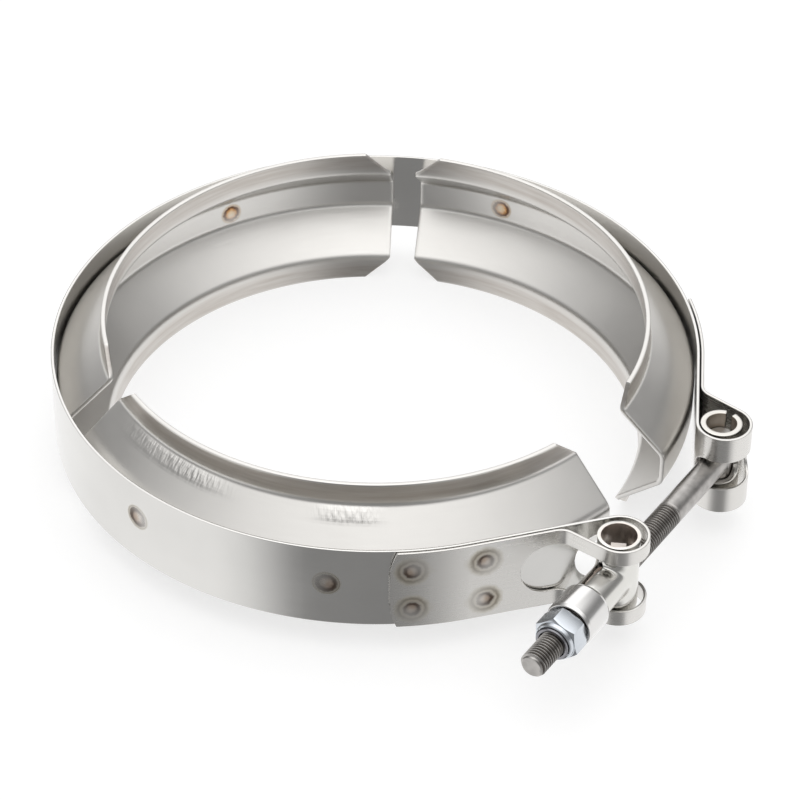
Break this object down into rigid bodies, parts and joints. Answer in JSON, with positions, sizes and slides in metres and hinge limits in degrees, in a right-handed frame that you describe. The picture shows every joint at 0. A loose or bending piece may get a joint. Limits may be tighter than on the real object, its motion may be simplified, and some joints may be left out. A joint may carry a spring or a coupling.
{
  "type": "v-band clamp",
  "caption": "Round V-band clamp: V-section retainers spot-welded inside a flat strap, its looped ends drawn together by a T-bolt, trunnions, a ferrule and a lock nut.",
  "frame": {"origin": "centre of the footprint's bounding box, on the plane of the lower lips", "axes": "+Z along the ring's axis, upwards; +X from the back of the ring towards its opening and the T-bolt; the nut is on the -Y side"},
  "size_m": [0.221, 0.1999, 0.0492],
  "materials": {
    "strap_steel": "rolled stainless strip with a satin sheen and brown weld halos",
    "retainer_steel": "drawn stainless sheet, satin, with faint tool marks at the bends",
    "rolled_tube_steel": "satin rolled sheet with a warm tint",
    "bolt_steel": "dull dark grey steel with a rolled thread",
    "sleeve_steel": "bright satin sheet, brown inside the tube",
    "ferrule_steel": "bright turned steel",
    "nut_zinc": "bluish zinc plating",
    "lock_ring_steel": "dark dull steel"
  },
  "bodies": {
    "band": {"strap": "strap_steel", "retainer_front": "retainer_steel", "retainer_left": "retainer_steel", "retainer_right": "retainer_steel"},
    "t_bolt": {"t_bolt": "bolt_steel", "bolt_trunnion": "rolled_tube_steel"},
    "nut_trunnion": {"nut_trunnion": "sleeve_steel"},
    "ferrule": {"nut_ferrule": "ferrule_steel"},
    "nut": {"lock_nut": "nut_zinc", "lock_ring": "lock_ring_steel"}
  },
  "joints": [
    {"name": "t_bolt_swing", "type": "hinge", "parent": "band", "child": "t_bolt", "pos_m": [0.09666, 0.03016, 0.0236], "axis": [0, 0, 1], "range_deg": [-1, 1]},
    {"name": "nut_trunnion_turn", "type": "hinge", "parent": "band", "child": "nut_trunnion", "pos_m": [0.10109, -0.03122, 0.0236], "axis": [0, 0, 1], "range_deg": [-1, 1]},
    {"name": "nut_travel", "type": "slide", "parent": "t_bolt", "child": "ferrule", "axis": [0.072, -0.9974, 0], "range_m": [0, 0.01058]},
    {"name": "nut_spin", "type": "hinge", "parent": "ferrule", "child": "nut", "pos_m": [0.09666, 0.03016, 0.0236], "axis": [0.072, -0.9974, 0], "range_deg": [0, 3600]}
  ],
  "couplings": [
    {"joint": "nut_trunnion_turn", "follows": "t_bolt_swing", "ratio": 1},
    {"joint": "nut_travel", "follows": "nut_spin", "m_per_rad": 0.00016844}
  ]
}
